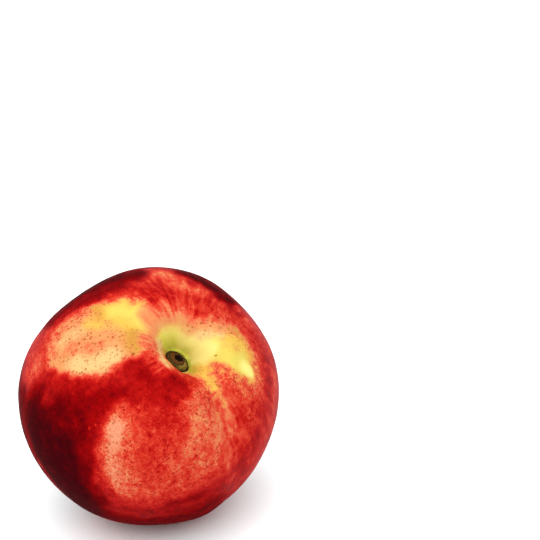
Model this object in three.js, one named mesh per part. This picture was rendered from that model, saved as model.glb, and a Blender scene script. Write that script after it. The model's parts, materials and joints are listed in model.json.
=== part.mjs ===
// A whole ripe nectarine, picked without its stalk and lying on its flank.
//
// The fruit grew as one piece and is one solid. In its own frame +Z runs up the stalk axis and +X
// goes through the seam, the shallow furrow from the stalk hollow down one side to the tip. The
// cheeks bulge on either side of the seam, along +Y and -Y. A sphere is pushed in and out along
// its radii by a few named forms, leant over, and pressed flat where it lies on the ground.
//
// Part frame: millimetres, +Z up, origin on the ground under the middle of the fruit's box.

import * as THREE from 'three';

// ---- Driving dimensions, in millimetres and degrees ----

const CHEEK_RADIUS = 35.6; // half the width from cheek to cheek
const SEAM_RADIUS = 35.0; // half the width through the seam
const CROWN_RADIUS = 34.2; // from the middle to the shoulders' crown, before the hollow
const TIP_RADIUS = 34.6; // from the middle to the tip

// The stalk hollow: a funnel, long through the seam and narrow between the cheeks.
// Its half angles are seen from the middle, towards the cheeks and towards the seam.
const HOLLOW = {
  depth: 8.6,
  floorAcross: 5.4,
  floorAlong: 9,
  lipAcross: 20,
  lipAlong: 28.5,
  flare: 2.6, // 1 is a straight cone, and more flares out like a trumpet
};

// The stalk scar on the hollow's floor: a raised collar round a dished disc with a pit. It is an
// oval whose long way is turned a little from the seam, and its radii are those across it.
const SCAR = {
  turn: 17,
  stretch: 1.7,
  collarRadius: 1.6,
  collarWidth: 0.35,
  collarHeight: 0.5,
  ditchRadius: 2.1,
  ditchWidth: 0.3,
  ditchDepth: 0.35,
  dishDepth: 0.35,
  pitRadius: 0.6,
  pitDepth: 1.0,
};

// Furrows run down a meridian: deepest at `peak` from the stalk, spent at `end`.
const FURROWS = [
  { name: 'seam notch', around: 0, depth: 2.3, width: 4.6, peak: 22, end: 64 },
  { name: 'seam', around: 0, depth: 0.5, width: 3.0, peak: 50, end: 150 },
  { name: 'back dip', around: 202, depth: 1.3, width: 4.8, peak: 26, end: 62 },
];

// Broad swellings (+) and flats (-): how far round from the seam, how far down from the stalk,
// how high they stand and how wide they spread.
const SWELLINGS = [
  { name: 'near shoulder', around: -20, down: 18, height: 1.5, spread: 8.5 },
  { name: 'far knuckle', around: 62, down: 19, height: 0.9, spread: 7.5 },
  { name: 'back lobe', around: 172, down: 30, height: 0.7, spread: 10 },
  { name: 'back flank flat', around: 183, down: 83, height: -1.75, spread: 24 },
  { name: 'far cheek flat', around: 98, down: 63, height: -0.85, spread: 18 },
  { name: 'seam flank fullness', around: -8, down: 101, height: 1.0, spread: 15 },
  { name: 'far seam flank flat', around: 32, down: 81, height: -0.6, spread: 10 },
  { name: 'near cheek fullness', around: 224, down: 103, height: 0.35, spread: 16 },
  { name: 'near cheek flat', around: -88, down: 116, height: -0.3, spread: 18 },
];

// The tip: a dimple with the dried point of the flower in it.
const TIP = { dimpleDepth: 1.0, dimpleRadius: 4.2, pointHeight: 0.6, pointRadius: 1.0 };

// How the fruit lies: the stalk axis leans this far from upright, towards this heading, and the
// fruit is turned this far about its own axis. The ground presses a small flat into its flank.
const LEAN = 47.6;
const HEADING = -59.7;
const TURN = 18.5;
const PRESSED_FLAT = 0.4;

// The mesh: columns round the axis, and rings from stalk to tip that bunch up at both ends, and
// most of all round the scar.
const COLUMNS = 72;
const RINGS = 60;
const STALK_BUNCHING = 1.3;
const END_BUNCHING = 0.6;

// ---- Helpers ----

const { degToRad, smoothstep, lerp } = THREE.MathUtils;

const bell = (distance, width) => Math.exp(-((distance / width) ** 2));

// The direction at `down` degrees from the stalk and `around` degrees from the seam.
function direction(down, around) {
  const outward = Math.sin(degToRad(down));
  return new THREE.Vector3(
    outward * Math.cos(degToRad(around)),
    outward * Math.sin(degToRad(around)),
    Math.cos(degToRad(down)),
  );
}

// ---- The forms, each in millimetres along the radius ----

// The body before anything is sunk into it: an egg with three half widths.
function eggRadius(d) {
  const polar = d.z > 0 ? CROWN_RADIUS : TIP_RADIUS;
  return 1 / Math.hypot(d.x / SEAM_RADIUS, d.y / CHEEK_RADIUS, d.z / polar);
}

function hollowDepth(down, around) {
  const floorShare = Math.cos(around - degToRad(SCAR.turn)) ** 2;
  const floor = degToRad(lerp(HOLLOW.floorAcross, HOLLOW.floorAlong, floorShare));
  const lip = degToRad(lerp(HOLLOW.lipAcross, HOLLOW.lipAlong, Math.cos(around) ** 2));
  const inside = THREE.MathUtils.clamp((lip - down) / (lip - floor), 0, 1);
  return HOLLOW.depth * inside ** HOLLOW.flare;
}

function furrowDepth(furrow, down, around) {
  const offset = Math.atan2(
    Math.sin(around - degToRad(furrow.around)),
    Math.cos(around - degToRad(furrow.around)),
  );
  if (Math.abs(offset) > Math.PI / 2) return 0;
  const sideways = CHEEK_RADIUS * Math.sin(down) * Math.sin(offset);
  const peak = degToRad(furrow.peak);
  const end = degToRad(furrow.end);
  const rise = smoothstep(down, 0, peak);
  const fall = 1 - smoothstep(down, peak, end);
  return furrow.depth * rise * fall * bell(sideways, furrow.width);
}

function swellingHeight(swelling, d) {
  const centre = direction(swelling.down, swelling.around);
  return swelling.height * bell(d.angleTo(centre), degToRad(swelling.spread));
}

function tipHeight(down) {
  const sideways = TIP_RADIUS * (Math.PI - down);
  return (
    TIP.pointHeight * bell(sideways, TIP.pointRadius) -
    TIP.dimpleDepth * bell(sideways, TIP.dimpleRadius)
  );
}

function scarHeight(down, around) {
  const fromLongWay = around - degToRad(SCAR.turn);
  const oval = Math.hypot(Math.cos(fromLongWay) / SCAR.stretch, Math.sin(fromLongWay));
  const wellPastScar = 1;
  const sideways = oval * (CROWN_RADIUS - HOLLOW.depth) * Math.tan(Math.min(down, wellPastScar));
  const inside = 1 - smoothstep(sideways, SCAR.pitRadius, SCAR.collarRadius);
  return (
    SCAR.collarHeight * bell(sideways - SCAR.collarRadius, SCAR.collarWidth) -
    SCAR.ditchDepth * bell(sideways - SCAR.ditchRadius, SCAR.ditchWidth) -
    SCAR.dishDepth * inside -
    SCAR.pitDepth * bell(sideways, SCAR.pitRadius)
  );
}

function fruitRadius(d) {
  const down = Math.acos(THREE.MathUtils.clamp(d.z, -1, 1));
  const around = Math.atan2(d.y, d.x);
  let radius = eggRadius(d) - hollowDepth(down, around) + tipHeight(down);
  radius += scarHeight(down, around);
  for (const furrow of FURROWS) radius -= furrowDepth(furrow, down, around);
  for (const swelling of SWELLINGS) radius += swellingHeight(swelling, d);
  return radius;
}

// ---- The fruit ----

// A unit sphere about +Z whose rings bunch up towards the stalk and, less so, the tip.
function gradedSphere() {
  const sphere = new THREE.SphereGeometry(1, COLUMNS, RINGS).rotateX(Math.PI / 2);
  const points = sphere.getAttribute('position');
  const d = new THREE.Vector3();
  for (let i = 0; i < points.count; i++) {
    d.fromBufferAttribute(points, i);
    const share = (Math.acos(THREE.MathUtils.clamp(d.z, -1, 1)) / Math.PI) ** STALK_BUNCHING;
    const graded = Math.PI * share - (END_BUNCHING / 2) * Math.sin(2 * Math.PI * share);
    const flat = Math.hypot(d.x, d.y);
    const spread = flat > 1e-6 ? Math.sin(graded) / flat : 0;
    points.setXYZ(i, d.x * spread, d.y * spread, Math.cos(graded));
  }
  return sphere;
}

function nectarineGeometry() {
  const geometry = gradedSphere();
  const points = geometry.getAttribute('position');
  const d = new THREE.Vector3();
  for (let i = 0; i < points.count; i++) {
    d.fromBufferAttribute(points, i).normalize();
    d.multiplyScalar(fruitRadius(d));
    points.setXYZ(i, d.x, d.y, d.z);
  }
  geometry.rotateZ(degToRad(TURN));
  geometry.rotateY(degToRad(LEAN));
  geometry.rotateZ(degToRad(HEADING));

  geometry.computeBoundingBox();
  const { min, max } = geometry.boundingBox;
  geometry.translate(-(min.x + max.x) / 2, -(min.y + max.y) / 2, -min.z - PRESSED_FLAT);
  for (let i = 0; i < points.count; i++) points.setZ(i, Math.max(points.getZ(i), 0));
  geometry.computeVertexNormals();
  return geometry;
}

const skin = new THREE.MeshStandardMaterial({
  name: 'skin',
  color: new THREE.Color(0.62, 0.05, 0.04),
  roughness: 0.42,
  metalness: 0,
});

const nectarine = new THREE.Mesh(nectarineGeometry(), skin);
nectarine.name = 'nectarine';

const part = new THREE.Group();
part.add(nectarine);

export default part;
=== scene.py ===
"""A whole ripe nectarine lying on its flank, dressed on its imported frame.

The fruit has its own directions, which its shape and its markings follow. A place on the skin is
given by two angles: `down`, from the stalk, and `around`, from the seam. The skin is painted with
named tones in broad strokes, and the material works the fine speckles and streaks over them.

Blender units are metres. Sizes marked _MM are millimetres.
"""

import json
import math

import bmesh
import bpy
import numpy as np
from bpy.props import FloatProperty, FloatVectorProperty, IntProperty, PointerProperty
from mathutils import Matrix, Vector, noise

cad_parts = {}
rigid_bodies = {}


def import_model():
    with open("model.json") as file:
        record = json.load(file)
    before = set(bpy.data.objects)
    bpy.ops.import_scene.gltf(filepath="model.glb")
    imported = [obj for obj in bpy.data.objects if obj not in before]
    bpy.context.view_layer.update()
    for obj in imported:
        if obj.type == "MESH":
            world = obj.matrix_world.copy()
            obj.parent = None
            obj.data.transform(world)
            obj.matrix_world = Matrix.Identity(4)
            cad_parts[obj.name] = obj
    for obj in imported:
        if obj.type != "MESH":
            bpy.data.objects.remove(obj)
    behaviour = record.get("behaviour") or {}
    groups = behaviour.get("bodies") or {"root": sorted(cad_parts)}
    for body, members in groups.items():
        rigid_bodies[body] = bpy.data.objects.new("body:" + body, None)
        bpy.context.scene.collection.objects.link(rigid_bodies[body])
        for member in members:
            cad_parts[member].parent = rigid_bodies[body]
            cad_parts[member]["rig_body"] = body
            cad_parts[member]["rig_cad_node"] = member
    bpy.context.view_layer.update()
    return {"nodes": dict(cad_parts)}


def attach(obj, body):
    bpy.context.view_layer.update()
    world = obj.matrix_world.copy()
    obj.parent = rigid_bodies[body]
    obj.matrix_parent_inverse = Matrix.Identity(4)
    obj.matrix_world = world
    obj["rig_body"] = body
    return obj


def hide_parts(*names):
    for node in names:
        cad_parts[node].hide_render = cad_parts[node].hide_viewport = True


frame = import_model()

bl_info = {
    "name": "Nectarine",
    "version": (1, 0, 0),
    "blender": (4, 5, 0),
    "location": "View3D > Sidebar > Nectarine",
    "description": "Dresses a nectarine: its painted skin, its stalk scar and its studio stage",
    "category": "Object",
}

MM = 0.001

# ---- How the fruit lies ----

LEAN = math.radians(47.6)  # of the stalk axis from upright
HEADING = math.radians(-59.7)  # the way it leans
TURN = math.radians(18.5)  # of the seam about the stalk axis
MIDDLE = Vector((0.15, -0.08, 34.46)) * MM  # of the fruit, which its radii start from
LIE = (
    Matrix.Rotation(HEADING, 3, "Z")
    @ Matrix.Rotation(LEAN, 3, "Y")
    @ Matrix.Rotation(TURN, 3, "Z")
)
FLESH_RADIUS_MM = 35.0
HOLLOW_FLOOR_MM = 25.6  # from the middle up the stalk axis to the hollow's floor

# The studio is lit brightly enough to burn out a white floor, so that its shadows stay small.
STUDIO_LIGHT = 1.6


def looks(red, green, blue):
    """The linear colour a shader takes to look like this in the studio's light.

    The channels run from 0 to 255, and a little over for skin that lies in shade, as painted
    light.
    """
    channels = []
    for value in (red, green, blue):
        share = value / 255
        linear = share / 12.92 if share <= 0.04045 else ((share + 0.055) / 1.055) ** 2.4
        channels.append(linear / STUDIO_LIGHT)
    return (*channels, 1.0)


# ---- What the skin is painted with ----

# Each tone is how red the skin is (0 none, 1 nearly black), the colour of the ground under the
# red, how speckled it is and how streaked.
TONES = {
    "olive": (0.00, "olive", 0.0, 0.0),
    "green": (0.00, "green", 0.0, 0.0),
    # Partly the pale ground where the hollow opens, partly a painted highlight.
    "pale lemon highlight": (0.00, "pale", 0.0, 0.0),
    "lemon": (0.00, "lemon", 0.0, 0.0),
    "golden": (0.04, "golden", 0.4, 0.3),
    "ochre": (0.08, "ochre", 0.8, 0.2),
    "orange": (0.23, "golden", 1.0, 0.2),
    "tangerine": (0.34, "golden", 0.9, 0.2),
    "orange streaks": (0.28, "golden", 0.2, 1.0),
    "cream": (0.02, "cream", 0.8, 0.0),
    "peach": (0.10, "peach", 1.0, 0.0),
    "peach streaks": (0.12, "peach", 0.1, 0.6),
    "rosy cream": (0.07, "rose", 0.8, 0.0),
    "rose": (0.19, "rose", 0.9, 0.0),
    "apricot": (0.18, "peach", 1.0, 0.1),
    "salmon": (0.25, "peach", 0.8, 0.0),
    "rosy salmon": (0.26, "rose", 0.9, 0.0),
    "coral": (0.34, "peach", 1.0, 0.1),
    "coral streaks": (0.34, "peach", 0.2, 0.9),
    "vermilion": (0.46, "peach", 0.8, 0.2),
    "vermilion streaks": (0.48, "peach", 0.2, 1.0),
    "bright red": (0.52, "peach", 0.5, 0.1),
    "scarlet": (0.58, "peach", 0.4, 0.1),
    "scarlet streaks": (0.58, "peach", 0.1, 1.0),
    "deep red": (0.70, "peach", 0.1, 0.1),
    "deep streaks": (0.63, "peach", 0.0, 0.7),
    "crimson": (0.77, "peach", 0.0, 0.0),
    "wine": (0.86, "peach", 0.0, 0.0),
    # Painted shade for the dark rims along the top.
    "rim shade": (0.95, "peach", 0.0, 0.5),
    "maroon": (1.00, "peach", 0.0, 0.0),
}
GROUND_TONE = "scarlet"

# Each stroke is its tone, half its width and the softness of its edge in millimetres, and the
# places it runs through as (down, around) in degrees. Later strokes cover earlier ones.
STROKES = (
    # The far side, the underside and the tip.
    ("vermilion", 15, 10, ((92, 120), (118, 150))),
    ("coral", 8, 8, ((110, 96), (126, 128))),
    ("deep red", 13, 9, ((80, 175), (108, 200))),
    ("wine", 14, 9, ((112, 240), (140, 270))),
    ("deep red", 14, 9, ((112, 60), (118, 10), (118, -25))),
    ("golden", 4, 5, ((170, 0), (176, 120))),
    # The dark blush behind the top, which fades down the far side; at the rim, partly painted
    # shade.
    ("deep red", 6, 9, ((88, -172), (82, 166), (74, 146), (68, 122))),
    ("crimson", 4, 8, ((82, -172), (74, 170), (67, 152), (62, 130), (58, 112))),
    ("wine", 2, 6, ((76, -174), (68, 172), (62, 158))),
    ("wine", 1, 6, ((57, 136), (54, 120), (50, 108))),
    # The top, streaked away from the hollow.
    ("scarlet streaks", 5, 4, ((36, -176), (34, 160), (32, 135), (33, 112))),
    ("vermilion streaks", 1.2, 4, ((24, -178), (23, 155), (21, 138), (21, 116))),
    ("vermilion streaks", 2.4, 3, ((52, 160), (44, 155), (36, 148), (29, 144))),
    ("coral streaks", 1.4, 2.8, ((47, 153), (42, 149), (36, 144), (32, 138), (33, 131))),
    ("orange streaks", 0.8, 2.4, ((46, 156), (41, 150), (37, 145), (34, 142))),
    ("coral streaks", 1.2, 2.8, ((22, -176), (20, 168), (17, 152), (14, 136), (13, 126))),
    ("vermilion streaks", 0.7, 2.6, ((34, 162), (31, 157), (27, 153))),
    ("salmon", 0.6, 2.4, ((20, 107), (22, 100))),
    # A dark rim at the top right, in painted shade.
    ("rim shade", 2.2, 3.4, ((49, 136), (44, 118), (42, 104))),
    ("vermilion streaks", 1.6, 2.4, ((41, 95), (41, 84))),
    ("wine", 0.6, 2.6, ((42, 110), (37, 112))),
    ("vermilion", 0.5, 2.4, ((29, 106), (26, 98))),
    # The upper left and its rim, darkened along the rim with painted shade.
    ("deep red", 4, 4, ((66, -152), (60, -164), (56, -174))),
    ("wine", 5, 3.5, ((74, -158), (67, -172), (59, 176), (54, 170))),
    ("rim shade", 2.6, 3.5, ((72, -166), (64, 180), (60, 175))),
    ("crimson", 1.8, 3, ((58, -160), (52, -168), (47, -178))),
    ("vermilion", 2.6, 3, ((78, -130), (75, -124))),
    ("coral", 0.9, 2.5, ((74, -128), (71, -127))),
    # The band of deep red that crosses the near cheek under the pale patch.
    ("deep red", 5, 4, ((74, -112), (58, -108), (45, -103), (33, -100), (22, -92), (17, -70))),
    ("deep red", 2.2, 3.4, ((24, -84), (23, -64), (20, -44))),
    ("crimson", 2.2, 3.4, ((66, -104), (56, -100), (48, -96), (41, -94))),
    ("wine", 0.8, 2.6, ((62, -98), (55, -97))),
    ("crimson", 0.5, 2.6, ((36, -94), (35, -90))),
    ("scarlet", 0.8, 2.6, ((40, -106), (35, -104), (32, -101))),
    ("coral", 0.5, 2.4, ((37, -111), (33, -109))),
    ("crimson", 0.4, 2.8, ((24, -97), (22, -86))),
    # The dark flank.
    ("wine", 8.5, 4, ((76, -102), (80, -86), (86, -72), (94, -62))),
    ("deep red", 6, 4, ((98, -50), (100, -30), (98, -10), (90, 6))),
    # Along the bottom, where the fruit meets the floor: a wine band that is painted shade.
    ("wine", 3, 4, ((95, -60), (97, -42), (97, -24), (92, -8))),
    ("wine", 4.6, 3.5, ((64, -97), (68, -88), (74, -78))),
    ("maroon", 5.5, 5, ((79, -101), (84, -88), (90, -74), (97, -66))),
    ("maroon", 1.8, 3, ((68, -91), (69, -85), (75, -76))),
    ("wine", 1.6, 2.6, ((55, -90), (61, -84), (68, -77), (75, -70))),
    ("crimson", 0.6, 2.4, ((48, -90), (54, -87), (61, -81), (65, -77), (70, -73), (78, -64))),
    ("scarlet", 0.3, 2, ((64, -114), (60, -112))),
    ("deep red", 0.8, 2.4, ((68, -111), (64, -110))),
    ("scarlet", 0.4, 2.2, ((66, -71), (70, -68))),
    ("wine", 2.4, 3.5, ((88, -118), (97, -111), (103, -98), (106, -84), (109, -68))),
    # The pale patch at the left, and the lobe of lemon above it.
    ("coral", 2.6, 2.8, ((62, -138), (53, -149), (45, -156))),
    ("vermilion streaks", 1.6, 2.6, ((44, -167), (36, -170), (28, -168))),
    ("apricot", 4.6, 3, ((59, -134), (52, -142), (42, -146))),
    ("peach", 5.2, 1.8, ((54, -130), (47, -127), (37, -128), (30, -134), (25, -138))),
    ("vermilion", 0.9, 2.4, ((69, -142), (68, -135), (67, -129))),
    ("coral", 0.6, 2.4, ((62, -141), (60, -136), (60, -131))),
    ("apricot", 0.4, 2.4, ((49, -130), (44, -130), (39, -128))),
    ("cream", 0.2, 3.2, ((58, -135), (53, -140), (48, -141))),
    ("golden", 0.6, 2.8, ((46, -145), (41, -145))),
    ("salmon", 0.3, 2, ((53, -131), (50, -128))),
    ("salmon", 0.3, 2, ((41, -127), (38, -128))),
    ("cream", 1.9, 2.6, ((49, -120), (43, -117), (36, -118), (32, -119))),
    ("orange", 0.7, 2.2, ((47, -159), (43, -163), (38, -167), (33, -173), (28, -175))),
    ("deep red", 0.1, 1.6, ((53, -161), (49, -163))),
    ("golden", 2, 3, ((43, -155), (37, -155), (31, -153), (25, -148))),
    ("golden", 0.5, 1.8, ((35, -167), (31, -168))),
    ("ochre", 0.8, 2.2, ((47, -158), (43, -153))),
    ("lemon", 1.5, 2.4, ((38, -160), (33, -162), (29, -165), (24, -158), (20, -152))),
    ("ochre", 1.6, 2.6, ((25, -140), (24, -132), (22, -124))),
    ("peach streaks", 1.3, 2.4, ((25, -170), (20, -166), (17, -157), (15, -142))),
    ("coral streaks", 0.9, 2.4, ((19, -141), (18, -126), (17, -108))),
    ("salmon", 0.5, 2.2, ((16, -136), (15, -118))),
    ("vermilion streaks", 1.2, 2.4, ((17, -104), (16, -88))),
    # The near cheek.
    ("bright red", 5, 6, ((42, -58), (52, -50), (62, -42), (70, -38))),
    ("coral", 3.2, 2.6, ((43, -75), (52, -68), (60, -62), (67, -55))),
    ("coral", 0.9, 2.4, ((38, -83), (43, -79))),
    ("coral", 0.2, 2.2, ((53, -77), (58, -74))),
    ("rosy salmon", 1.8, 1.9, ((44, -77), (50, -74), (57, -68), (63, -63), (67, -59))),
    ("rose", 0.9, 2, ((44, -78), (50, -74), (55, -71))),
    ("rosy cream", 0.9, 1.8, ((44, -78), (48, -75), (51, -73))),
    ("rose", 0.2, 2, ((59, -68), (62, -65))),
    ("coral", 0.5, 2.4, ((52, -64), (57, -61))),
    ("coral", 0.8, 1.8, ((67, -45), (63, -41), (59, -37), (55, -31))),
    ("vermilion", 2.5, 5, ((42, -44), (50, -42), (60, -40))),
    ("vermilion", 3.5, 4, ((56, -34), (54, -18))),
    ("coral", 4.2, 3.5, ((24, -24), (31, -20), (38, -17), (45, -20))),
    ("salmon", 1.5, 2.4, ((31, -28), (38, -30), (44, -31))),
    ("salmon", 0.6, 2.2, ((33, -19), (40, -19))),
    ("orange", 0.4, 2, ((27, -4), (32, -5))),
    ("salmon", 1, 2.4, ((37, -7), (44, -8))),
    ("coral", 0.6, 2.4, ((51, -38), (54, -35))),
    ("vermilion", 0.5, 2.2, ((43, -19), (46, -18))),
    ("bright red", 0.9, 2.2, ((32, -37), (36, -36))),
    ("bright red", 0.3, 2, ((40, -68), (42, -65))),
    ("deep red", 0.3, 2, ((16, -43), (20, -41))),
    # The near cheek's underside, darker towards the floor: partly its own blush, partly painted
    # shade.
    ("deep red", 2.6, 3.6, ((84, -53), (81, -40), (75, -29), (72, -18), (69, -8), (67, 0))),
    ("crimson", 2.4, 3.2, ((86, -34), (80, -24), (77, -16), (74, -8), (72, 0))),
    ("wine", 2, 2.8, ((91, -54), (91, -40), (88, -28), (84, -17), (80, -7))),
    ("crimson", 0.8, 2.4, ((72, -34), (70, -27), (69, -20))),
    ("scarlet", 0.5, 2.6, ((70, -68), (73, -62), (77, -57))),
    # The far cheek, its lighter streaks partly painted sheen along the limb.
    ("deep streaks", 5.2, 4, ((46, 52), (56, 32), (64, 12), (70, 2))),
    ("vermilion streaks", 1.4, 3, ((48, 74), (54, 48), (62, 28))),
    ("vermilion", 1.8, 3, ((25, 98), (31, 84), (35, 72), (37, 58), (39, 46), (42, 34))),
    # The lemon of the hollow, and the lobe that leads out of it.
    ("peach streaks", 1.5, 2.4, ((18, -168), (16, 179), (15, 162), (13, 144))),
    ("golden", 0.6, 2, ((14, -168), (13, 178), (12, 160), (11, 144))),
    ("salmon", 1.2, 2.4, ((12, 130), (14, 114), (16, 102), (20, 94), (24, 84))),
    ("peach", 1, 2.6, ((12, 122), (14, 106), (17, 92), (22, 80))),
    ("ochre", 0.8, 2.4, ((27, 82), (27, 75), (29, 68))),
    ("pale lemon highlight", 1.2, 2.4, ((12, -172), (10, 160), (8, 130), (8, 100), (11, 76))),
    ("cream", 1, 2, ((12, 100), (14, 87), (18, 78), (21, 72))),
    ("orange", 2, 2.4, ((22, 72), (28, 64), (33, 54), (35, 46))),
    ("golden", 1.2, 2.2, ((19, 70), (24, 66), (28, 58), (31, 51))),
    ("lemon", 2.5, 2, ((12, 66), (16, 54), (20, 48), (25, 45))),
    ("lemon", 2.3, 1.8, ((25, 46), (30, 42))),
    ("lemon", 0.8, 1.8, ((9, 46), (12, 32), (12, 18))),
    ("pale lemon highlight", 0.4, 1.8, ((9, 54), (11, 38))),
    ("golden", 0.2, 1.3, ((15, 66), (18, 62), (21, 57))),
    # Painted highlights on the lemon where the hollow opens.
    ("pale lemon highlight", 3, 2.4, ((2, 0), (6, 60))),
    ("pale lemon highlight", 1, 2.2, ((9, 110), (12, 66))),
    ("peach", 0.4, 2, ((12, 126), (13, 112), (15, 100), (18, 90))),
    ("cream", 0.2, 2, ((11, 108), (13, 92))),
    ("green", 1.6, 2.4, ((11, -162), (9, 178), (5, 158), (3, 120))),
    ("green", 0.8, 2.2, ((3, 80), (5, 40), (8, 20))),
    # Olive deep in the hollow round the scar: partly the skin's own, partly painted shade.
    ("olive", 0.6, 2.4, ((6, -170), (5, 175), (3, 130))),
    ("olive", 0.3, 1.8, ((5, 36), (8, 20))),
    ("olive", 0, 1.3, ((6, 58), (7, 40), (8, 30))),
    ("salmon", 0.3, 1.8, ((14, -114), (13, -98))),
    # A pale line along the near lip: partly the skin's own cream, partly a painted highlight on
    # its edge.
    ("cream", 0.5, 1.6, ((13, -150), (12, -126), (12, -98), (12, -84))),
    ("golden", 0.4, 1.5, ((9, -150), (8, -120), (9, -88))),
    ("peach", 0.3, 1.6, ((10, -84), (10, -72))),
    ("coral", 0.5, 1.8, ((11, -62), (11, -36))),
    ("golden", 0.4, 1, ((8, -140), (7, -105), (7, -60), (8, -24))),
    ("green", 0.2, 1.2, ((6, -150), (6, -100), (6, -50), (7, -10))),
    # The speckled notch and the seam.
    ("vermilion", 2.2, 2.8, ((28, 14), (36, 15), (44, 18))),
    ("tangerine", 1.8, 2.4, ((22, 15), (28, 14), (32, 14))),
    ("tangerine", 1.4, 2, ((17, 26), (21, 23), (28, 23), (35, 24))),
    ("orange", 0.9, 1.8, ((16, 31), (22, 29), (27, 32), (30, 36), (34, 38))),
    ("coral", 0.8, 2.2, ((38, 40), (38, 32))),
    ("orange", 1.1, 1.8, ((33, 52), (35, 45), (33, 37))),
    # A painted highlight on the lobe.
    ("pale lemon highlight", 1.1, 1.8, ((27, 45), (31, 43))),
    ("golden", 1.3, 1.6, ((10, 24), (13, 13), (17, 7), (20, 6))),
    ("orange", 0.5, 1.8, ((12, -4), (15, -7), (18, -3))),
    ("ochre", 0.4, 1.8, ((10, 14), (11, -4))),
    # Olive by the scar: partly the skin's own, partly painted shade.
    ("olive", 0, 2, ((8, 32), (9, 14))),
    ("orange", 1.1, 2, ((19, 6), (23, 5), (26, 4), (28, 7))),
    ("golden", 0.1, 1.3, ((18, 6), (22, 7), (25, 8))),
    ("vermilion streaks", 2.4, 2.8, ((30, 8), (35, 7), (42, 4), (49, 0), (56, -5))),
    # Lighter streaks down the seam near the limb, partly painted sheen.
    ("vermilion streaks", 1, 2.8, ((38, 11), (44, 9), (51, 9), (57, 10))),
    ("coral streaks", 1.2, 2.2, ((29, 8), (34, 6), (39, 2), (44, -3), (50, -4))),
    ("coral streaks", 0.9, 1.6, ((34, 6), (38, 4), (42, 1), (46, -2), (51, -4))),
    ("salmon", 0, 0.9, ((36, 7), (40, 4), (44, 0))),
    ("orange", 0.5, 2, ((25, 4), (28, 6), (31, 8))),
    ("coral streaks", 0.2, 1.8, ((30, 9), (34, 8))),
)
EDGE_WOBBLE_MM = 0.8  # how far a stroke's edge wanders
EDGE_WOBBLE_SCALE = 0.35  # wanders per millimetre

# Single marks that stand out from the speckles: each is its place and its radius in millimetres.
# The pale flecks are painted glints, as tiny glossy bumps would catch the light.
GLINT_FLECKS = (((38, -57), 1.0), ((51, -86), 0.6), ((54, -87), 0.7), ((33, -75), 0.5))
DARK_SPOTS = (((24, -118), 0.7), ((14, 51), 0.4))

# ---- How the red and the speckles are spread ----

# The redness at which the blush takes each colour, and that at which it hides the ground.
BLUSH = (
    (0.22, "coral"),
    (0.42, "vermilion"),
    (0.58, "scarlet"),
    (0.72, "crimson"),
    (0.86, "wine"),
    (1.00, "maroon"),
)
FULL_BLUSH = 0.34

# How far each noise carries the redness, and how much further it does on speckled skin.
CLOUD_REACH = 0.32
MOTTLE_REACH = (0.32, 0.22)
WORM_REACH = (0.16, 0.50)
GRAIN_REACH = 0.14
BROAD_STREAK_REACH = 0.66
FINE_STREAK_REACH = 0.62
PORE_REACH = 0.10
# How far the painted glints lighten the skin.
GLINT_REACH = 0.20
STREAK_CHANGE = 0.4  # how fast a streak changes along its meridian, against across it
ROUGHNESS = 0.50
ROUGHNESS_REACH = 0.14

# Smooth steps: where each starts and ends, and its values there.
CALM_WHEN_PALE = (0.0, 0.28, 0.32, 1.0)  # by redness, the share of the noises that shows
CALM_WHEN_DARK = (0.60, 0.95, 1.0, 0.62)
SHEEN = (0.60, 0.82, 0.018, 0.002)  # by redness, because the darkest skin has the least sheen
DRIFTS = (0.30, 0.60, 0.45, 1.0)  # by the mottling, the share of the speckles that shows

# Dots: how many to a millimetre, and their least and greatest radii as shares of their spacing.
PORES = (0.55, 0.0, 0.20)
FINE_SPECKLES = (1.75, 0.14, 0.36)
COARSE_SPECKLES = (1.15, 0.10, 0.37)
LARGE_SPECKLES = (0.76, 0.08, 0.29)
FINE_SPECKLE_SHARE = 0.6  # of the darkness of the others
DOT_EDGE = (-0.04, 0.10)  # where a dot starts and is full, in the same shares
MARK_CORE = 0.2  # the share of a mark's radius that it covers fully

# ---- The skin's relief ----

# Each set of pleats is how many there are round the hollow, its share of the height and how much
# it wavers.
PLEATS = ((23, 0.6, 5), (41, 0.4, -7))
PLEATS_WAVER_SCALE = 0.11  # wavers per millimetre
PLEATS_RISE = (8, 17)  # degrees from the stalk
PLEATS_FADE = (24, 52)
PLEATS_FACE = math.radians(150)  # they are strongest this far round from the seam
PLEATS_SIDES = (0.1, 0.8)  # cosines from there at which they are gone and full
SWELL_SIZE_MM = 12  # from one swell to the next
FREE_OF_GROUND_MM = (0.5, 5.0)  # heights between which the swells set in
MERGE_MM = 0.002  # corners nearer than this are one
MOST_TRIANGLES = 0.2  # the share of the skin's faces that may stay triangles

# ---- The stalk scar, from its outer edge in to its pit ----

# Each ring is how far in from the last one it lies, and how far up, in millimetres.
SCAR_RINGS = (
    (0.20, 0.28),  # up the ditch's outer wall
    (0.15, 0.02),  # the ditch
    (0.12, 0.28),  # the collar's outer wall
    (0.15, 0.16),
    (0.15, -0.04),  # its crest
    (0.14, -0.24),  # the groove inside it
    (0.14, -0.04),
    (0.16, 0.12),  # the inner ring
    (0.25, -0.06),  # the disc
    (0.25, -0.08),
    (0.14, -0.20),  # the pit's rim
    (0.12, -0.45),
    (0.12, -0.20),
)
SCAR_RIM_MM = 2.25
SCAR_RIM_HEIGHT_MM = -0.55
SCAR_ROOT_MM = 1.4  # how deep its closed underside is sunk
SCAR_BED_MM = 0.9  # how deep the skin dips under it
SCAR_STRETCH = 1.6  # the scar is an oval
SCAR_TURN = math.radians(17)  # of its long way from the seam
SCAR_CENTRE_MM = (0.0, -0.6)  # of the oval, from the stalk axis
SCAR_DISC_SHIFT_MM = (-0.6, 0.25)  # of the disc from the oval's centre
SCAR_PIT_SHIFT_MM = (0.35, 0.55)  # of the pit from the disc's centre
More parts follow.
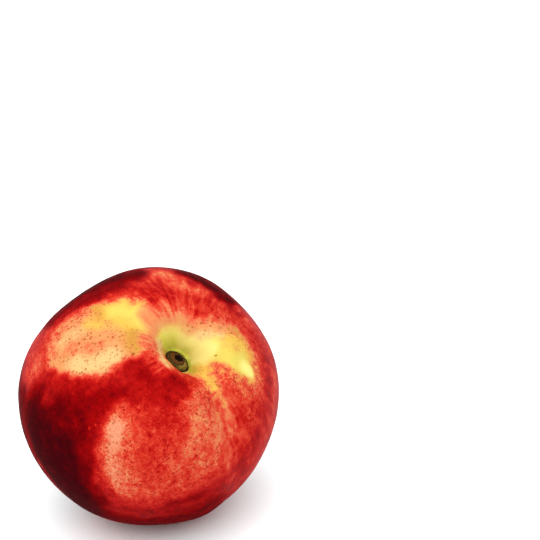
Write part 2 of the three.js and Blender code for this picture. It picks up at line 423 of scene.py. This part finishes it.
SCAR_DISC_MM = 1.40  # radius of the disc, where its groove lies
SCAR_PIT_MM = 0.7
SCAR_BED_WALL_MM = (SCAR_RIM_MM - 0.35, SCAR_RIM_MM + 0.15)  # from its foot to its top
SCAR_UNDERSIDE_MM = SCAR_RIM_HEIGHT_MM - 0.1  # what lies lower isn't weathered
SCAR_SMOOTHING = 2  # how many times its mesh is subdivided
CORK_GRAIN_MM = 0.5

# How it has weathered: its rings wander and heave, and rays run out of its pit.
WANDER_MM = 0.10
HEAVE_MM = 0.08
WANDER_ROUND = 2.2  # how fast the wander changes round the scar
WANDER_OUT = 0.35  # and outwards, as a share of that
LEAST_REACH_MM = 0.3  # nearer the middle than this the wander fades
RAYS = 17
RAY_HEIGHT_MM = 0.04
RAY_WAVER = 4

# Its colours, by how far out they lie as a share of its rim.
# The pit and the dark ring at the rim, bark then pit, are partly painted shade in the pit and the
# ditch.
SCAR_COLOURS = (
    (0.31, "pit"),
    (0.38, "cork"),
    (0.53, "cork"),
    (0.58, "bark"),
    (0.62, "bark"),
    (0.67, "collar"),
    (0.79, "collar"),
    (0.89, "bark"),
    (1.00, "pit"),
)
SCAR_COLOUR_WANDER_MM = 0.4  # how far their edges wander, from side to side
COLLAR_EDGE_MM = (SCAR_DISC_MM - 0.1, SCAR_DISC_MM + 0.1)
# Away from the seam the collar is darker: partly dried, partly painted shade.
COLLAR_DRIED_AND_SHADED_MM = (1.9, 0.8)  # towards the seam, where its drying starts and is full
COLLAR_DRIED_AND_SHADED_SHARE = 0.75
CORK_SHADES = (0.30, 0.70, 0.45, 1.4)  # a smooth step, from its grain to its shade

# ---- The stage ----

FLOOR_SIZE = 8.0
FLOOR_GRAIN_SCALE = 900.0  # grains to a metre
KEY_LIGHT_TOWARDS = Vector((-0.10, -0.43, 1.0))
SENSOR_WIDTH_MM = 36.0
CAMERA_SEES = (0.01, 20.0)  # the nearest and the farthest that it shows


# ---- Settings ----


def colour_setting(name, description, colour):
    """A setting that holds one colour."""
    return FloatVectorProperty(
        name=name, description=description, default=colour, size=4, subtype="COLOR"
    )


class NectarineSkinSettings(bpy.types.PropertyGroup):
    """The fruit's skin."""

    smoothing: IntProperty(
        name="Smoothing",
        description="How many times the skin's mesh is subdivided",
        default=2,
        min=1,
        max=3,
    )
    pleat_height: FloatProperty(
        name="Pleat height",
        description="Height of the fine pleats that run out of the stalk hollow",
        default=0.00009,
        subtype="DISTANCE",
        unit="LENGTH",
    )
    swell_height: FloatProperty(
        name="Swell height",
        description="Height of the gentle swells that keep the cheeks from being perfectly round",
        default=0.0005,
        subtype="DISTANCE",
        unit="LENGTH",
    )
    # The hollow's grounds are set lighter than its skin is, as painted light that lifts its shade;
    # the darker olive by the scar is partly painted shade.
    olive: colour_setting("Olive", "Ground colour deep in the hollow", looks(164, 170, 52))
    green: colour_setting("Green", "Ground colour on the hollow's walls", looks(228, 222, 84))
    pale: colour_setting(
        "Pale lemon", "Ground colour where the hollow opens", looks(264, 245, 140)
    )
    lemon: colour_setting("Lemon", "Ground colour where no sun reached", looks(238, 214, 98))
    peach: colour_setting(
        "Peach", "Ground colour where the sun reached through leaves", looks(238, 164, 100)
    )
    golden: colour_setting(
        "Golden", "Ground colour between lemon and the blush", looks(244, 196, 84)
    )
    ochre: colour_setting(
        "Ochre", "Ground colour of the dusky spots at the lemon's edges", looks(216, 160, 66)
    )
    cream: colour_setting(
        "Cream", "Ground colour along the pale patch's lower edge", looks(246, 200, 132)
    )
    rose: colour_setting(
        "Rose", "Ground colour of the pale crescent on the near cheek", looks(246, 164, 124)
    )
    coral: colour_setting("Coral", "The palest blush", looks(238, 112, 78))
    vermilion: colour_setting("Vermilion", "The light blush", looks(226, 62, 42))
    scarlet: colour_setting("Scarlet", "The blush of most of the fruit", looks(198, 22, 18))
    crimson: colour_setting("Crimson", "The deeper blush", looks(162, 6, 8))
    wine: colour_setting("Wine", "The dark blush", looks(110, 3, 8))
    maroon: colour_setting(
        "Maroon", "The darkest blush, where the sun was strongest", looks(66, 4, 10)
    )
    speck: colour_setting(
        "Speck", "How much of each colour a dark speckle lets through", (0.54, 0.33, 0.24, 1.0)
    )


class NectarineScarSettings(bpy.types.PropertyGroup):
    """The dry scar that the stalk left."""

    sides: IntProperty(
        name="Sides",
        description="How many sides each ring of the scar starts with",
        default=64,
        min=16,
    )
    roughen_height: FloatProperty(
        name="Roughness of the cork",
        description="Height of the cork's grain",
        default=0.00012,
        subtype="DISTANCE",
        unit="LENGTH",
    )
    cork: colour_setting("Cork", "Colour of the scar's disc", looks(108, 66, 24))
    collar: colour_setting(
        "Collar", "Colour of the green collar round the disc", looks(144, 122, 48)
    )
    # Bark also darkens the collar away from the seam, partly as painted shade.
    bark: colour_setting(
        "Bark",
        "Colour of the groove in the collar, and of the collar where it has dried",
        looks(58, 42, 16),
    )
    # Near black: partly the scar's own dark cork, partly painted shade in the pit and the ditch.
    pit: colour_setting(
        "Pit", "Colour of the pit and of the ditch round the collar", looks(24, 10, 3)
    )


class NectarineStageSettings(bpy.types.PropertyGroup):
    """The floor, the lights and the camera."""

    floor_colour: colour_setting("Floor", "Colour of the floor", (0.91, 0.96, 0.965, 1.0))
    sun_strength: FloatProperty(
        name="Key light",
        description="Strength of the wide soft light from above",
        default=1.85 * STUDIO_LIGHT,
    )
    sun_spread: FloatProperty(
        name="Key light spread",
        description="How wide the soft light is, seen from the fruit",
        default=math.radians(70),
        subtype="ANGLE",
    )
    sky_strength: FloatProperty(
        name="Sky",
        description="Strength of the even white light from all round",
        default=0.62 * STUDIO_LIGHT,
    )
    lens: FloatProperty(
        name="Lens",
        description="Focal length of the camera, in millimetres",
        default=73.33,
    )
    camera_pitch: FloatProperty(
        name="Camera pitch",
        description="How far the camera looks down",
        default=math.radians(19.06),
        subtype="ANGLE",
    )
    camera_place: FloatVectorProperty(
        name="Camera place",
        description="Where the camera stands",
        default=(0.03269, -0.27354, 0.16469),
        size=3,
        subtype="TRANSLATION",
        unit="LENGTH",
    )


# ---- Working in Blender ----


def pick(piece):
    """Makes one object the only selected one, and the active one."""
    bpy.ops.object.select_all(action="DESELECT")
    piece.select_set(True)
    bpy.context.view_layer.objects.active = piece


def edit(piece, mode="FACE"):
    """Opens a piece in edit mode with nothing selected."""
    pick(piece)
    bpy.ops.object.mode_set(mode="EDIT")
    bpy.ops.mesh.select_mode(type=mode)
    bpy.ops.mesh.select_all(action="DESELECT")


def finish_edit():
    bpy.ops.object.mode_set(mode="OBJECT")


def add_modifier(piece, kind, **settings):
    """Adds a modifier to a piece, sets it and applies it."""
    pick(piece)
    bpy.ops.object.modifier_add(type=kind)
    modifier = piece.modifiers[-1]
    for name, value in settings.items():
        setattr(modifier, name, value)
    bpy.ops.object.modifier_apply(modifier=modifier.name)


def subdivide(piece, levels):
    add_modifier(piece, "SUBSURF", levels=levels, render_levels=levels)


def displace(piece, name, height, size, group=""):
    """Pushes a piece's skin in and out by soft noise of the given height and size."""
    texture = bpy.data.textures.new(name, type="CLOUDS")
    texture.noise_scale = size
    texture.noise_depth = 2
    add_modifier(
        piece,
        "DISPLACE",
        texture=texture,
        texture_coords="LOCAL",
        strength=height,
        mid_level=0.5,
        vertex_group=group,
    )
    bpy.data.textures.remove(texture)


def fruit_points(piece):
    """The piece's vertices in the fruit's own directions, in millimetres from its middle."""
    points = np.empty(len(piece.data.vertices) * 3)
    piece.data.vertices.foreach_get("co", points)
    return (points.reshape(-1, 3) - np.array(MIDDLE)) @ np.array(LIE) / MM


def place_fruit_points(piece, points):
    """Moves the piece's vertices to these places in the fruit's own directions."""
    placed = points * MM @ np.array(LIE).T + np.array(MIDDLE)
    piece.data.vertices.foreach_set("co", placed.ravel())
    piece.data.update()


def direction(down, around):
    """The direction at `down` degrees from the stalk and `around` degrees from the seam."""
    polar, turn = math.radians(down), math.radians(around)
    return np.array(
        (math.sin(polar) * math.cos(turn), math.sin(polar) * math.sin(turn), math.cos(polar))
    )


def smooth_step(values, low, high):
    """Goes smoothly from 0 to 1 as the values go from low to high."""
    share = np.clip((values - low) / (high - low), 0, 1)
    return share * share * (3 - 2 * share)


# ---- Node helpers ----


class NodeBench:
    """Lays out the nodes of one material and joins them."""

    # The sockets where a Mix node keeps its colours.
    MIX_FIRST, MIX_SECOND, MIX_RESULT = 6, 7, 2

    def __init__(self, name):
        self.material = bpy.data.materials.new(name)
        self.material.use_nodes = True
        self.tree = self.material.node_tree
        self.shader = self.tree.nodes["Principled BSDF"]

    def add(self, kind, *values, **settings):
        """Adds a node. Its first sockets take the values, which may be other nodes' sockets."""
        node = self.tree.nodes.new("ShaderNode" + kind)
        for name, value in settings.items():
            setattr(node, name, value)
        for socket, value in zip(node.inputs, values):
            self.feed(socket, value)
        return node

    def feed(self, socket, value):
        if isinstance(value, bpy.types.NodeSocket):
            self.tree.links.new(value, socket)
        elif value is not None:
            socket.default_value = value

    def math(self, operation, *values):
        return self.add("Math", *values, operation=operation).outputs[0]

    def chain(self, operation, first, *rest):
        """Works through the values from left to right."""
        for value in rest:
            first = self.math(operation, first, value)
        return first

    def vector(self, operation, *values):
        return self.add("VectorMath", *values, operation=operation).outputs[0]

    def length(self, value):
        return self.add("VectorMath", value, operation="LENGTH").outputs["Value"]

    def step(self, value, low, high, to_low=0.0, to_high=1.0):
        """A smooth step from one value to another as `value` goes from low to high."""
        node = self.add(
            "MapRange", value, low, high, to_low, to_high, interpolation_type="SMOOTHSTEP"
        )
        return node.outputs[0]

    def noise(self, place, **settings):
        """Soft noise of this scale, detail, roughness and distortion."""
        node = self.add("TexNoise", place)
        for name, value in settings.items():
            node.inputs[name.title()].default_value = value
        return node.outputs["Fac"]

    def centred(self, value, reach):
        """The noise about nought, carried this far."""
        return self.math("MULTIPLY", self.math("SUBTRACT", value, 0.5), reach)

    def ramp(self, value, stops, settings):
        """A colour ramp through stops, each its position and the name of its colour."""
        node = self.add("ValToRGB", value)
        elements = node.color_ramp.elements
        while len(elements) < len(stops):
            elements.new(1.0)
        for element, (position, colour) in zip(elements, stops):
            element.position = position
            element.color = getattr(settings, colour)
        return node.outputs[0]

    def mix(self, share, first, second, blend="MIX"):
        node = self.add("Mix", data_type="RGBA", blend_type=blend)
        self.feed(node.inputs[0], share)
        self.feed(node.inputs[self.MIX_FIRST], first)
        self.feed(node.inputs[self.MIX_SECOND], second)
        return node.outputs[self.MIX_RESULT]

    def dots(self, place, per_mm, smallest, largest):
        """Round dots of random radius, which is a share of their spacing."""
        cells = self.add("TexVoronoi", place, feature="F1")
        cells.inputs["Scale"].default_value = per_mm
        draw = self.add("SeparateXYZ", cells.outputs["Color"]).outputs[0]
        radius = self.step(draw, 0.0, 1.0, smallest, largest)
        return self.step(self.math("SUBTRACT", radius, cells.outputs["Distance"]), *DOT_EDGE)

    def marks(self, outward, marks):
        """Soft round marks at their places on the skin, seen along the outward direction."""
        cover = 0.0
        for place, radius in marks:
            apart = self.length(self.vector("SUBTRACT", outward, direction(*place)))
            apart = self.math("MULTIPLY", apart, FLESH_RADIUS_MM)
            cover = self.math("MAXIMUM", cover, self.step(apart, radius, MARK_CORE * radius))
        return cover

    def fruit_place(self):
        """Where a point lies in the fruit's own directions, in millimetres from its middle."""
        place = self.add("TexCoord").outputs["Object"]
        lie = (MIDDLE, LIE.to_euler("XYZ"), (MM, MM, MM))
        return self.add("Mapping", place, *lie, vector_type="TEXTURE").outputs[0]

    def bump(self, height, strength, distance=None):
        """Shades the surface as if it were raised by this height."""
        node = self.add("Bump")
        node.inputs["Strength"].default_value = strength
        self.feed(node.inputs["Distance"], distance)
        self.feed(node.inputs["Height"], height)
        self.feed(self.shader.inputs["Normal"], node.outputs[0])

    def finish(self, **settings):
        """Sets the values that are the same all over, and returns the material."""
        for name, value in settings.items():
            self.shader.inputs[name.replace("_", " ")].default_value = value
        return self.material


# ---- The skin ----


def copy_of_fruit():
    """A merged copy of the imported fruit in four-sided faces, with its own name and mesh."""
    pick(frame["nodes"]["nectarine"])
    bpy.ops.object.duplicate()
    skin = bpy.context.active_object
    skin.name = skin.data.name = "nectarine_skin"
    del skin["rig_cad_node"]
    del skin["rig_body"]
    skin.parent = None
    skin.data.materials.clear()
    edit(skin, "VERT")
    bpy.ops.mesh.select_all(action="SELECT")
    bpy.ops.mesh.remove_doubles(threshold=MERGE_MM * MM)
    bpy.ops.mesh.tris_convert_to_quads(face_threshold=math.pi, shape_threshold=math.pi)
    finish_edit()
    triangles = sum(len(face.vertices) == 3 for face in skin.data.polygons)
    if triangles > MOST_TRIANGLES * len(skin.data.polygons):
        raise RuntimeError(f"{triangles} of the skin's faces are still triangles")
    return skin


def free_of_ground(skin):
    """A vertex group that lets go of the skin as it nears the ground."""
    group = skin.vertex_groups.new(name="free_of_ground")
    low, high = FREE_OF_GROUND_MM
    for vertex in skin.data.vertices:
        share = float(smooth_step(vertex.co.z, low * MM, high * MM))
        group.add([vertex.index], share, "REPLACE")
    return group.name


def press_pleats(skin, height):
    """Fine pleats run out of the hollow, over its lip and down the shoulders."""
    points = fruit_points(skin)
    reach = np.linalg.norm(points, axis=1)
    down = np.degrees(np.arccos(points[:, 2] / reach))
    around = np.arctan2(points[:, 1], points[:, 0])
    waver = np.array([noise.noise(Vector(p) * PLEATS_WAVER_SCALE) for p in points])
    wave = sum(share * np.cos(count * around + swing * waver) for count, share, swing in PLEATS)
    band = smooth_step(down, *PLEATS_RISE) * (1 - smooth_step(down, *PLEATS_FADE))
    band *= smooth_step(np.cos(around - PLEATS_FACE), *PLEATS_SIDES)
    points *= (1 + height / MM * wave * band / reach)[:, None]
    place_fruit_points(skin, points)


def sink_scar_bed(skin):
    """The floor of the hollow makes room for the scar."""
    points = fruit_points(skin)
    centre_x, centre_y = SCAR_CENTRE_MM
    across, along = points[:, 1] - centre_y, points[:, 0] - centre_x
    long_way = along * math.cos(SCAR_TURN) + across * math.sin(SCAR_TURN)
    short_way = across * math.cos(SCAR_TURN) - along * math.sin(SCAR_TURN)
    oval = np.hypot(long_way / SCAR_STRETCH, short_way)
    sunk = (1 - smooth_step(oval, *SCAR_BED_WALL_MM)) * (points[:, 2] > 0)
    points[:, 2] += sunk * (HOLLOW_FLOOR_MM - SCAR_BED_MM - points[:, 2])
    place_fruit_points(skin, points)


def stay_above_ground(skin):
    for vertex in skin.data.vertices:
        vertex.co.z = max(vertex.co.z, 0.0)


def distance_to_path(points, path):
    """How far each point is from the path through these places, in millimetres."""
    corners = [FLESH_RADIUS_MM * direction(*place) for place in path]
    nearest = np.full(len(points), np.inf)
    for start, end in zip(corners, corners[1:]):
        run = end - start
        share = np.clip((points - start) @ run / (run @ run), 0, 1)
        apart = np.linalg.norm(points - start - share[:, None] * run, axis=1)
        nearest = np.minimum(nearest, apart)
    return nearest


def tone_channels(tone, settings):
    """What a tone paints: red, speckle and streak, then the colour of the ground."""
    red, ground, speckle, streak = TONES[tone]
    return np.array((red, speckle, streak, *getattr(settings, ground)[:3]))


def paint_strokes(skin, settings):
    """Paints the strokes on the skin, in two layers.

    "tone" holds how red, speckled and streaked the skin is, and "ground" the colour under the red.
    """
    points = fruit_points(skin)
    points *= (FLESH_RADIUS_MM / np.linalg.norm(points, axis=1))[:, None]
    wobble = np.array([noise.noise(Vector(p) * EDGE_WOBBLE_SCALE) for p in points])
    paint = np.tile(tone_channels(GROUND_TONE, settings), (len(points), 1))
    for tone, half_width, edge, path in STROKES:
        apart = distance_to_path(points, path) + EDGE_WOBBLE_MM * wobble
        cover = 1 - smooth_step(apart, half_width - edge / 2, half_width + edge)
        paint += cover[:, None] * (tone_channels(tone, settings) - paint)
    for name, channels in (("tone", paint[:, :3]), ("ground", paint[:, 3:])):
        layer = skin.data.color_attributes.new(name=name, type="FLOAT_COLOR", domain="POINT")
        layer.data.foreach_set("color", np.insert(channels, 3, 1.0, axis=1).ravel())


def meridian_streaks(bench, place):
    """Streaks that follow the meridians from stalk to tip."""
    sideways = bench.vector("MULTIPLY", place, (1.0, 1.0, 0.0))
    height = bench.add("SeparateXYZ", place).outputs[2]
    down = bench.math("ARCTAN2", bench.length(sideways), height)
    heading = bench.vector("NORMALIZE", sideways)
    along = bench.add("CombineXYZ", 0.0, 0.0, bench.math("MULTIPLY", down, STREAK_CHANGE))
    meridian = bench.vector("ADD", heading, along.outputs[0])
    broad = bench.noise(meridian, scale=7.0, distortion=0.2)
    fine = bench.noise(meridian, scale=15.0, roughness=0.6, distortion=0.2)
    broad = bench.centred(broad, BROAD_STREAK_REACH)
    return bench.math("ADD", broad, bench.centred(fine, FINE_STREAK_REACH))


def dark_speckles(bench, place, speckle, mottle, coarse):
    """Fine dark speckles, in drifts, thickest on pale skin."""
    fine = bench.math("MULTIPLY", bench.dots(place, *FINE_SPECKLES), FINE_SPECKLE_SHARE)
    speck = bench.chain("MAXIMUM", fine, coarse, bench.dots(place, *LARGE_SPECKLES))
    return bench.chain("MULTIPLY", speck, speckle, bench.step(mottle, *DRIFTS))


def skin_material(settings):
    """Skin of a ripe nectarine: satin, painted red over yellow, with speckles and streaks."""
    bench = NodeBench("nectarine_skin")
    tone = bench.add("Attribute", attribute_name="tone")
    red, speckle, streak = bench.add("SeparateXYZ", tone.outputs["Vector"]).outputs
    ground = bench.add("Attribute", attribute_name="ground").outputs["Color"]
    place = bench.fruit_place()
    outward = bench.vector("NORMALIZE", place)
    streaks = meridian_streaks(bench, place)
    clouds = bench.noise(place, scale=0.17, detail=3.0, roughness=0.55)
    mottle = bench.noise(place, scale=0.55, detail=3.0, roughness=0.6, distortion=0.6)
    worms = bench.noise(place, scale=1.1, roughness=0.6, distortion=1.6)
    grain = bench.noise(place, scale=2.6, detail=1.0)

    def speckled_reach(reach):
        """How far a noise reaches here, from its reach on plain skin and what speckle adds."""
        plain, added = reach
        return bench.math("MULTIPLY_ADD", speckle, added, plain)

    # The noises carry the painted redness up and down.
    wander = bench.chain(
        "ADD",
        bench.centred(clouds, CLOUD_REACH),
        bench.centred(mottle, speckled_reach(MOTTLE_REACH)),
        bench.centred(grain, GRAIN_REACH),
        bench.centred(worms, speckled_reach(WORM_REACH)),
        bench.math("MULTIPLY", streak, streaks),
    )
    calm = (bench.step(red, *CALM_WHEN_PALE), bench.step(red, *CALM_WHEN_DARK))
    redness = bench.math("ADD", red, bench.chain("MULTIPLY", wander, *calm))

    # Soft pale pores, and pale flecks that are painted glints, seen best where it is red.
    pore = bench.math("MULTIPLY", bench.dots(place, *PORES), PORE_REACH)
    glint = bench.math("MULTIPLY", bench.marks(outward, GLINT_FLECKS), GLINT_REACH)
    redness = bench.chain("SUBTRACT", redness, pore, glint)

    blush = bench.ramp(redness, BLUSH, settings)
    colour = bench.mix(bench.step(redness, 0.0, FULL_BLUSH), ground, blush)
    coarse = bench.dots(place, *COARSE_SPECKLES)
    speck = dark_speckles(bench, place, speckle, mottle, coarse)
    speck = bench.math("MAXIMUM", speck, bench.marks(outward, DARK_SPOTS))
    colour = bench.mix(speck, colour, bench.mix(1.0, colour, settings.speck, "MULTIPLY"))
    bench.feed(bench.shader.inputs["Base Color"], colour)

    roughness = bench.math("ADD", ROUGHNESS, bench.centred(grain, ROUGHNESS_REACH))
    bench.feed(bench.shader.inputs["Roughness"], roughness)
    bench.feed(bench.shader.inputs["Specular IOR Level"], bench.step(red, *SHEEN))
    relief = bench.math("MULTIPLY_ADD", bench.noise(place, scale=3.2), 0.5, coarse)
    bench.bump(relief, strength=0.35, distance=0.04 * MM)
    return bench.finish(
        Subsurface_Weight=0.05,
        Subsurface_Radius=(1.0, 0.35, 0.2),
        Subsurface_Scale=2.0 * MM,
    )


class NECTARINE_OT_skin(bpy.types.Operator):
    """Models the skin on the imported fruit, and paints it"""

    bl_idname = "nectarine.skin"
    bl_label = "Skin"
    bl_options = {"REGISTER", "UNDO"}

    def execute(self, context):
        settings = context.scene.nectarine_skin
        skin = copy_of_fruit()
        subdivide(skin, settings.smoothing)
        group = free_of_ground(skin)
        displace(skin, "swells", settings.swell_height, SWELL_SIZE_MM * MM, group)
        press_pleats(skin, settings.pleat_height)
        sink_scar_bed(skin)
        stay_above_ground(skin)
        paint_strokes(skin, settings)
        pick(skin)
        bpy.ops.object.shade_smooth()
        skin.data.materials.append(skin_material(settings))
        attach(skin, "root")
        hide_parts("nectarine")
        return {"FINISHED"}


# ---- The stalk scar ----


def scar_root(sides):
    """A shallow closed drum, stalk axis up at the origin, with the floor's level at z = 0."""
    bpy.ops.object.select_all(action="DESELECT")
    bpy.ops.mesh.primitive_circle_add(
        vertices=sides,
        radius=SCAR_RIM_MM * MM,
        fill_type="NGON",
        location=(0, 0, SCAR_RIM_HEIGHT_MM * MM),
    )
    scar = bpy.context.active_object
    scar.name = scar.data.name = "stalk_scar"
    pick(scar)
    bpy.ops.object.transform_apply(location=True)
    edit(scar)
    bpy.ops.mesh.select_all(action="SELECT")
    bpy.ops.mesh.extrude_region_move(TRANSFORM_OT_translate={"value": (0, 0, -SCAR_ROOT_MM * MM)})
    bpy.ops.mesh.poke()
    bpy.ops.mesh.select_all(action="SELECT")
    bpy.ops.mesh.normals_make_consistent(inside=False)
    finish_edit()
    return scar


def ring_scar(scar):
    """Insets the drum's top ring by ring into the ditch, the collar, the disc and the pit."""
    edit(scar)
    shape = bmesh.from_edit_mesh(scar.data)
    for face in shape.faces:
        face.select_set(len(face.verts) > 4)
    for inward, upward in SCAR_RINGS:
        bpy.ops.mesh.inset(thickness=inward * MM, depth=upward * MM)
    bpy.ops.mesh.poke()
    bpy.ops.mesh.select_all(action="SELECT")
    bpy.ops.transform.resize(value=(SCAR_STRETCH, 1, 1), center_override=(0, 0, 0))
    finish_edit()


def weather_scar(scar):
    """Makes the rings wander, splits the cork in rays, and sets the disc and the pit off centre.

    The attribute `reach` keeps how far out each point lay before that, for the colours.
    """
    reaches = []
    for vertex in scar.data.vertices:
        place = vertex.co / MM
        reach = math.hypot(place.x / SCAR_STRETCH, place.y)
        reaches.append(reach)
        if place.z < SCAR_UNDERSIDE_MM:
            continue
        turn = math.atan2(place.y, place.x)
        in_disc = 1 - float(smooth_step(reach, SCAR_DISC_MM - 0.2, SCAR_RIM_MM))
        in_pit = 1 - float(smooth_step(reach, SCAR_PIT_MM, SCAR_DISC_MM))
        spot = Vector((math.cos(turn), math.sin(turn), reach * WANDER_OUT))
        wander = noise.noise(spot * WANDER_ROUND)
        rays = RAY_HEIGHT_MM * math.cos(RAYS * turn + RAY_WAVER * wander) * in_disc * (1 - in_pit)
        spread = WANDER_MM * wander / max(reach, LEAST_REACH_MM)
        shift_x = SCAR_DISC_SHIFT_MM[0] * in_disc + SCAR_PIT_SHIFT_MM[0] * in_pit
        shift_y = SCAR_DISC_SHIFT_MM[1] * in_disc + SCAR_PIT_SHIFT_MM[1] * in_pit
        vertex.co.x += (spread * place.x + shift_x) * MM
        vertex.co.y += (spread * place.y + shift_y) * MM
        vertex.co.z += (HEAVE_MM * wander + rays) * MM
    layer = scar.data.attributes.new(name="reach", type="FLOAT", domain="POINT")
    layer.data.foreach_set("value", reaches)


def seat_scar(scar):
    """Sets the scar on the hollow's floor, with its place in its mesh."""
    floor = Vector((*SCAR_CENTRE_MM, HOLLOW_FLOOR_MM)) * MM
    seat = (LIE @ Matrix.Rotation(SCAR_TURN, 3, "Z")).to_4x4()
    seat.translation = LIE @ floor + MIDDLE
    scar.matrix_world = seat
    pick(scar)
    bpy.ops.object.transform_apply(location=True, rotation=True, scale=True)


def scar_material(settings):
    """Dry cork: a brown disc with a dark pit, in an olive collar with a dark ditch round it."""
    bench = NodeBench("stalk_scar")
    place = bench.fruit_place()
    wander = bench.noise(place, scale=1.6, detail=3.0)
    reach = bench.add("Attribute", attribute_name="reach").outputs["Fac"]
    reach = bench.math("ADD", reach, bench.centred(wander, SCAR_COLOUR_WANDER_MM))
    colour = bench.ramp(bench.math("DIVIDE", reach, SCAR_RIM_MM), SCAR_COLOURS, settings)
    # The collar is green only towards the seam; elsewhere it is darker, partly dried brown, partly
    # painted shade.
    seamward = bench.add("SeparateXYZ", place).outputs[0]
    in_collar = bench.step(reach, *COLLAR_EDGE_MM)
    dried_and_shaded = bench.math("MULTIPLY", bench.step(seamward, *COLLAR_DRIED_AND_SHADED_MM), in_collar)
    dried_and_shaded = bench.math("MULTIPLY", dried_and_shaded, COLLAR_DRIED_AND_SHADED_SHARE)
    colour = bench.mix(dried_and_shaded, colour, settings.bark)
    grain = bench.noise(place, scale=4.0, detail=4.0, roughness=0.7)
    shaded = bench.add("VectorMath", colour, operation="SCALE")
    bench.feed(shaded.inputs["Scale"], bench.step(grain, *CORK_SHADES))
    bench.feed(bench.shader.inputs["Base Color"], shaded.outputs[0])
    bench.bump(grain, strength=0.6, distance=0.08 * MM)
    return bench.finish(Roughness=0.72, Specular_IOR_Level=0.05)


class NECTARINE_OT_stalk_scar(bpy.types.Operator):
    """Models the dry scar that the stalk left on the hollow's floor"""

    bl_idname = "nectarine.stalk_scar"
    bl_label = "Stalk scar"
    bl_options = {"REGISTER", "UNDO"}

    def execute(self, context):
        settings = context.scene.nectarine_scar
        scar = scar_root(settings.sides)
        ring_scar(scar)
        weather_scar(scar)
        subdivide(scar, SCAR_SMOOTHING)
        displace(scar, "cork", settings.roughen_height, CORK_GRAIN_MM * MM)
        seat_scar(scar)
        pick(scar)
        bpy.ops.object.shade_smooth()
        scar.data.materials.append(scar_material(settings))
        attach(scar, "root")
        return {"FINISHED"}


# ---- The stage ----


def lay_floor(colour):
    bpy.ops.object.select_all(action="DESELECT")
    bpy.ops.mesh.primitive_plane_add(size=FLOOR_SIZE)
    floor = bpy.context.active_object
    floor.name = "floor"
    bench = NodeBench("floor")
    place = bench.add("TexCoord").outputs["Object"]
    bench.bump(bench.noise(place, scale=FLOOR_GRAIN_SCALE), strength=0.03)
    floor.data.materials.append(bench.finish(Base_Color=colour, Roughness=0.6))


def hang_soft_light(strength, spread):
    """One wide soft light from high in front, the same wherever it falls."""
    bpy.ops.object.light_add(type="SUN", location=KEY_LIGHT_TOWARDS)
    light = bpy.context.active_object
    light.name = "key_light"
    light.rotation_euler = (-KEY_LIGHT_TOWARDS).to_track_quat("-Z", "Y").to_euler()
    light.data.energy = strength
    light.data.angle = spread


def light_sky(strength):
    world = bpy.data.worlds.new("sky")
    world.use_nodes = True
    background = world.node_tree.nodes["Background"]
    background.inputs["Color"].default_value = (1.0, 1.0, 1.0, 1.0)
    background.inputs["Strength"].default_value = strength
    bpy.context.scene.world = world


def stand_camera(settings):
    bpy.ops.object.camera_add(
        location=settings.camera_place,
        rotation=(math.pi / 2 - settings.camera_pitch, 0, 0),
    )
    camera = bpy.context.active_object
    camera.data.lens = settings.lens
    camera.data.sensor_width = SENSOR_WIDTH_MM
    camera.data.clip_start, camera.data.clip_end = CAMERA_SEES
    bpy.context.scene.camera = camera


class NECTARINE_OT_stage(bpy.types.Operator):
    """Lays the floor, sets the lights and stands the camera"""

    bl_idname = "nectarine.stage"
    bl_label = "Stage"
    bl_options = {"REGISTER", "UNDO"}

    def execute(self, context):
        settings = context.scene.nectarine_stage
        lay_floor(settings.floor_colour)
        hang_soft_light(settings.sun_strength, settings.sun_spread)
        light_sky(settings.sky_strength)
        stand_camera(settings)
        context.scene.view_settings.view_transform = "Standard"
        return {"FINISHED"}


# ---- The add-on ----


class NECTARINE_PT_panel(bpy.types.Panel):
    """Lists the nectarine's pieces and their settings"""

    bl_idname = "NECTARINE_PT_panel"
    bl_label = "Nectarine"
    bl_space_type = "VIEW_3D"
    bl_region_type = "UI"
    bl_category = "Nectarine"

    def draw(self, context):
        scene = context.scene
        rows = (
            (NECTARINE_OT_skin, scene.nectarine_skin),
            (NECTARINE_OT_stalk_scar, scene.nectarine_scar),
            (NECTARINE_OT_stage, scene.nectarine_stage),
        )
        for operator, settings in rows:
            box = self.layout.box()
            for name in settings.__annotations__:
                box.prop(settings, name)
            box.operator(operator.bl_idname)


CLASSES = (
    NectarineSkinSettings,
    NectarineScarSettings,
    NectarineStageSettings,
    NECTARINE_OT_skin,
    NECTARINE_OT_stalk_scar,
    NECTARINE_OT_stage,
    NECTARINE_PT_panel,
)


def register():
    for each in CLASSES:
        bpy.utils.register_class(each)
    bpy.types.Scene.nectarine_skin = PointerProperty(type=NectarineSkinSettings)
    bpy.types.Scene.nectarine_scar = PointerProperty(type=NectarineScarSettings)
    bpy.types.Scene.nectarine_stage = PointerProperty(type=NectarineStageSettings)


def unregister():
    del bpy.types.Scene.nectarine_stage
    del bpy.types.Scene.nectarine_scar
    del bpy.types.Scene.nectarine_skin
    for each in reversed(CLASSES):
        bpy.utils.unregister_class(each)


def main():
    register()
    bpy.ops.nectarine.skin()
    bpy.ops.nectarine.stalk_scar()
    bpy.ops.nectarine.stage()


if __name__ == "__main__":
    main()
